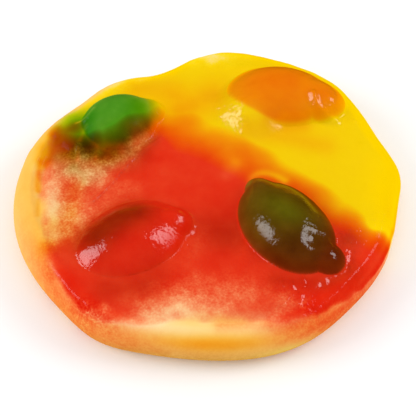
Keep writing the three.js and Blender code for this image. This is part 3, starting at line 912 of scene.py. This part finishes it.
# %% Gloss
MATT = [  # dull places: place, half lengths, turn
    ((-16.4, 6.0), (2.2, 1.7), 0), ((-10.4, 7.8), (6.0, 3.0), 25), ((-19.6, 5.0), (1.5, 4.0), 0),
    ((-13.0, 4.6), (2.5, 1.2), 0), ((-13.6, 7.2), (1.6, 1.4), 0), ((-8.4, 9.2), (2.0, 1.4), 20),
    ((-3.7, -9.6), (0.8, 1.8), -35), ((4.7, -8.0), (0.5, 2.6), -12), ((21.4, -1.0), (1.6, 4.6), 0),
]
WET_LIPS = [  # angle, spread, way over the edge, width, gloss
    (337, 9, 2.8, 0.5, 0.5), (318, 9, 2.8, 0.5, 0.6), (301, 7, 2.9, 0.5, 0.6),
    (222, 6, 3.1, 0.8, 0.8), (272, 14, 3.4, 0.6, 0.4),
]
GLOSS_FROM, GLOSS_OVER = 4.0, 1.2  # way over the edge where the gloss sets in
FOAM_DULLS = 0.6
SLOPE_STEP = 0.1
STEEP_FROM, STEEP_OVER, STEEP_DULLS = 0.75, 0.35, 0.92


def wetness(x, y, degrees, way, crust):
    """How strongly the clear gloss shows, from 0 to 1."""
    wet_rim = smoothstep((way - GLOSS_FROM) / GLOSS_OVER) + sum(
        lobe(degrees, at, spread, gloss) * bell(way - middle, width)
        for at, spread, middle, width, gloss in WET_LIPS)
    step = SLOPE_STEP
    slope_x = (skin_height(x + step, y) - skin_height(x - step, y)) / (2 * step)
    slope_y = (skin_height(x, y + step) - skin_height(x, y - step)) / (2 * step)
    steep = smoothstep((np.hypot(slope_x, slope_y) - STEEP_FROM) / STEEP_OVER)
    wet = (1 - FOAM_DULLS * crust) * np.minimum(wet_rim, 1) * (1 - STEEP_DULLS * steep)
    return wet * patches(x, y, [(*place, -1) for place in MATT])


print(len(MATT), "dull places,", len(WET_LIPS), "glossy lips")

# %% [markdown]
# ## Painting the pieces
# Now the jellies are added up and stored at each point. Amber is the toasted yellow of the foam
# itself. The foam's points inside the sweet get less dye, so that its cut faces stay pale.

# %% Millimetres of jelly at each point
CRUST_SOFT = 0.35
RED_IN_DROP = 0.4  # of the red topping's own jelly
RED_IN_GREEN, GREEN_FULL = 0.35, 3  # red that shows through, once the green is this deep
MOST_RED, RED_LEVELS_OFF = 4.1, 1.0
YELLOW_CURVE, YELLOW_GONE = 1.4, 4
ORANGE_STRENGTH = 0.75
MOTTLE_PALE, MOTTLE_CRUST = 1.5, 0.6
CRINKLE_UNIT, MOST_CRINKLED = 0.013, 2.4
SKIN_DEEP, SKIN_FADE = 0.15, 0.4  # how deep the dye reaches in the foam, and how it fades


def jelly_over(x, y, z):
    """Millimetres of each jelly over the foam at a point of the skin, and its finish."""
    degrees, inset = polar(x, y)
    way = skin_way(np.maximum(inset, 0), z)
    seam = skin_way(seam_inset(degrees), WAIST_HEIGHT)
    past_seam = way - seam + SEAM_WANDER * ripples(x, y, SEAM_HILLS, seed=23)
    pool, thin_and_sheen = pool_depth(x, y, degrees, past_seam)
    redness = share_of_red(x, y)
    crust = 1 / (1 + np.exp((past_seam - CRUST_SOFT) / CRUST_SOFT))
    streak = {name: stained(name, x, y, degrees, way)
              for name in ("yellow", "green", "amber", "red")}
    green = green_jelly(x, y)
    green_in_dark, red_in_dark, in_dark = dark_jelly(x, y)
    drop = topping_depth(x, y, TOPPINGS["red"]["bulbs"], *RED_SIDE)
    red = pool * redness + RED_IN_DROP * drop + RED_IN_GREEN * smoothstep(green / GREEN_FULL)
    red = red * (1 - in_dark) + red_in_dark * in_dark
    most = np.full(np.shape(red), MOST_RED)
    red = -soft_max(-red - streak["red"], -most, RED_LEVELS_OFF)
    yellow = pool * (1 - redness ** YELLOW_CURVE) * (1 - smoothstep(green / YELLOW_GONE))
    return {
        "yellow": np.maximum(yellow + streak["yellow"], 0),
        "red": np.maximum(red, 0),
        "orange": ORANGE_STRENGTH * orange_jelly(x, y),
        "green": np.maximum(green + green_in_dark + streak["green"], 0),
        "amber": np.maximum(crust + streak["amber"], 0),
        "mottle": np.clip(MOTTLE_PALE * (1 - thin_and_sheen) + MOTTLE_CRUST * crust, 0, 1),
        "crinkle": np.clip(crinkled(x, y) / CRINKLE_UNIT, 0, MOST_CRINKLED),
        "gloss": wetness(x, y, degrees, way, crust),
    }


def paint(piece, kept_inside):
    """Stores the jelly over each point; points inside the sweet keep at least this share."""
    mesh = piece.data
    points = np.empty(len(mesh.vertices) * 3)
    mesh.vertices.foreach_get("co", points)
    x, y, z = points.reshape(-1, 3).T / MM
    under = np.where(z > WAIST_HEIGHT, np.maximum(skin_height(x, y) - z - SKIN_DEEP, 0), 0)
    seen = np.exp(-under / SKIN_FADE) * (1 - kept_inside) + kept_inside
    dyes = jelly_over(x, y, z)
    for name, amount in dyes.items():
        layer = mesh.attributes.new(name, "FLOAT", "POINT")
        layer.data.foreach_set("value", (amount * seen).astype(np.float32))
    return {name: round(float(amount.max()), 1) for name, amount in dyes.items()}


for name, piece in pieces.items():
    print(name, paint(piece, 0 if name == "crust_base" else 1))

# %% [markdown]
# ## Jelly and foam as materials
# All pieces share one recipe. The jelly's millimetres, each times what a millimetre takes from
# red, green and blue light, add up to the light lost; the foam's cream times e to minus that
# sum is what comes back. Noise lets the depth vary, since no jelly sets evenly. A clear coat
# gives the wet gloss, and it is duller on the foam. Pores all over, and coarser grains where the
# skin is crinkled, are bump. Real transmission would have to be traced through every piece,
# which is slow; the foam is near enough for a colour on the surface to stand in for it.

# %% Materials
ABSORBS = {  # what one millimetre takes from red, green and blue light
    "yellow": (0.022, 0.058, 2.2), "red": (0.07, 0.89, 1.1), "orange": (0.022, 0.305, 1.7),
    "green": (0.437, 0.12, 0.5), "amber": (0.03, 0.36, 1.6),
}
FOAM_CREAM = (0.95, 0.70, 0.35)


class Recipe:
    """A short way to add shader nodes: each call makes a node and returns its first output."""

    def __init__(self, name):
        self.material = bpy.data.materials.new(name)
        self.material.use_nodes = True
        self.tree = self.material.node_tree
        self.shader = self.tree.nodes["Principled BSDF"]

    def node(self, kind, *inputs, output=0, **settings):
        made = self.tree.nodes.new(kind)
        for key, value in settings.items():
            setattr(made, key, value)
        for socket, value in zip(made.inputs, inputs):
            if isinstance(value, bpy.types.NodeSocket):
                self.tree.links.new(value, socket)
            elif value is not None:
                socket.default_value = value
        return made.outputs[output]

    def noise(self, where, hills_apart, detail=3):
        return self.node("ShaderNodeTexNoise", where, None, 1 / (hills_apart * MM), detail)

    def ramp(self, value, low, high, from_low=0.3, from_high=0.7):
        return self.node("ShaderNodeMapRange", value, from_low, from_high, low, high)

    def attribute(self, name):
        return self.node("ShaderNodeAttribute", attribute_name=name, output=2)

    def times(self, a, b):
        return self.node("ShaderNodeMath", a, b, operation="MULTIPLY")


CALM, CALM_HILLS = 0.07, 2.2  # share by which the depth varies, and the way between hills
FLECKS, FLECK_HILLS = 0.36, 0.27
CLOUDS, CLOUD_HILLS = 0.28, 0.9
PORE_HILLS, GRAIN_HILLS, SHEEN_HILLS = 0.34, 0.45, 1.1
ROUGH_LEAST, ROUGH_MOST = 0.35, 0.5
BUMP_STRENGTH, BUMP_HEIGHT = 0.8, 0.05 * MM
COAT_IOR = 1.62


def sweet_material(name, gloss_roughness):
    mix = Recipe(name)
    where = mix.node("ShaderNodeTexCoord", output=3)
    calm = mix.ramp(mix.noise(where, CALM_HILLS), 1 - CALM, 1 + CALM)
    flecks = mix.ramp(mix.noise(where, FLECK_HILLS), -FLECKS, FLECKS)
    clouds = mix.ramp(mix.noise(where, CLOUD_HILLS), -CLOUDS, CLOUDS)
    uneven = mix.node("ShaderNodeMath", flecks, clouds, operation="ADD")
    vary = mix.node("ShaderNodeMath", uneven, mix.attribute("mottle"), calm,
                    operation="MULTIPLY_ADD")
    lost = (0.0, 0.0, 0.0)
    for dye, absorbs in ABSORBS.items():
        depth = mix.times(mix.attribute(dye), calm if dye == "amber" else vary)
        lost = mix.node("ShaderNodeVectorMath", depth, absorbs, lost, operation="MULTIPLY_ADD")
    left = mix.node("ShaderNodeVectorMath", (np.exp(-1),) * 3, lost, operation="POWER")
    colour = mix.node("ShaderNodeVectorMath", left, FOAM_CREAM, operation="MULTIPLY")
    mix.tree.links.new(colour, mix.shader.inputs["Base Color"])
    pores = mix.noise(where, PORE_HILLS, detail=2)
    grains = mix.node("ShaderNodeMath", mix.noise(where, GRAIN_HILLS, detail=1),
                      mix.attribute("crinkle"), pores, operation="MULTIPLY_ADD")
    bump = mix.node("ShaderNodeBump", BUMP_STRENGTH, BUMP_HEIGHT, None, grains)
    mix.tree.links.new(bump, mix.shader.inputs["Normal"])
    mix.tree.links.new(bump, mix.shader.inputs["Coat Normal"])
    mix.tree.links.new(mix.ramp(mix.noise(where, SHEEN_HILLS), ROUGH_LEAST, ROUGH_MOST),
                       mix.shader.inputs["Roughness"])
    mix.shader.inputs["Specular IOR Level"].default_value = 0.0
    mix.tree.links.new(mix.attribute("gloss"), mix.shader.inputs["Coat Weight"])
    mix.shader.inputs["Coat Roughness"].default_value = gloss_roughness
    mix.shader.inputs["Coat IOR"].default_value = COAT_IOR
    return mix.material


print("recipe ready for", ", ".join(ABSORBS))

# %% [markdown]
# ## A finish for each piece
# All seven are the same recipe, since the attributes already say what each point is made of.
# Only the gloss differs: the foam sets with a slightly rougher skin.

# %% Finish for each piece
FINISHES = {  # piece: material slot, roughness of the gloss
    "crust_base": ("foam", 0.16),
    "jelly_yellow": ("yellow_jelly", 0.1),
    "jelly_red": ("red_jelly", 0.1),
    "topping_orange": ("orange_jelly", 0.1),
    "topping_green": ("green_jelly", 0.1),
    "topping_red": ("red_jelly", 0.1),
    "topping_dark_green": ("dark_green_jelly", 0.1),
}
for name, piece in pieces.items():
    slot_name, gloss_roughness = FINISHES[name]
    piece.data.materials.clear()
    piece.data.materials.append(sweet_material(name + "_finish", gloss_roughness))
    piece.name = name + "_dressed"
    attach(piece, "root")
    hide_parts(name)
for helper in [uncut, *cutters]:
    bpy.data.objects.remove(helper)
print("dressed:", sorted(piece.name for piece in pieces.values()))

# %% [markdown]
# ## Table, light and camera
# The sweet lies on a plain white table. An even white sky lights the colours, and two round
# softboxes, rather low at the left and at the right, put the broad glints on the toppings. Sky
# and table are kept out of reflections: a clear gloss that mirrors a white sky all over would
# look like milk on the dark jelly.

# %% Table, light and camera
def softbox(name, direction, distance, width, watts):
    light = bpy.data.lights.new(name, "AREA")
    light.shape, light.size, light.energy = "DISK", width, watts
    lamp = bpy.data.objects.new(name, light)
    lamp.location = Vector(direction).normalized() * distance
    lamp.rotation_euler = lamp.location.to_track_quat("Z", "Y").to_euler()
    bpy.context.scene.collection.objects.link(lamp)
    return lamp


TABLE_HALF = 2000
TABLE_CORNERS = ((-1, -1), (1, -1), (1, 1), (-1, 1))
TABLE_COLOUR, TABLE_ROUGHNESS = (0.96, 0.96, 0.96, 1), 0.9
SKY_COLOUR, SKY_STRENGTH = (1, 1, 1, 1), 0.8

table = mesh_object("table", [(x * TABLE_HALF, y * TABLE_HALF, 0) for x, y in TABLE_CORNERS],
                    [(0, 1, 2, 3)])
table_white = bpy.data.materials.new("table_white")
table_white.use_nodes = True
table_shader = table_white.node_tree.nodes["Principled BSDF"]
table_shader.inputs["Base Color"].default_value = TABLE_COLOUR
table_shader.inputs["Roughness"].default_value = TABLE_ROUGHNESS
table.data.materials.append(table_white)
table.visible_glossy = False

sky = bpy.data.worlds.new("sky")
sky.use_nodes = True
sky.node_tree.nodes["Background"].inputs["Color"].default_value = SKY_COLOUR
sky.node_tree.nodes["Background"].inputs["Strength"].default_value = SKY_STRENGTH
sky.cycles_visibility.glossy = False
bpy.context.scene.world = sky
bpy.context.scene.view_settings.view_transform = "Standard"

softbox("left softbox", (-0.82, -0.04, 0.56), distance=0.4, width=0.25, watts=0.55)
softbox("right softbox", (0.78, 0.12, 0.62), distance=0.4, width=0.23, watts=0.48)

CAMERA_DISTANCE = 215
AIM = (-0.015, -1.80, 3.4)  # the point of the sweet that the camera looks at
looking_down = np.radians(55)
camera_data = bpy.data.cameras.new("camera")
camera_data.lens, camera_data.sensor_width = 150, 36
camera = bpy.data.objects.new("camera", camera_data)
camera.location = (AIM[0] * MM, (AIM[1] - CAMERA_DISTANCE * np.cos(looking_down)) * MM,
                   (AIM[2] + CAMERA_DISTANCE * np.sin(looking_down)) * MM)
camera.rotation_euler = (np.pi / 2 - looking_down, 0, 0)
bpy.context.scene.collection.objects.link(camera)
bpy.context.scene.camera = camera
print("camera", [round(v, 4) for v in camera.location])
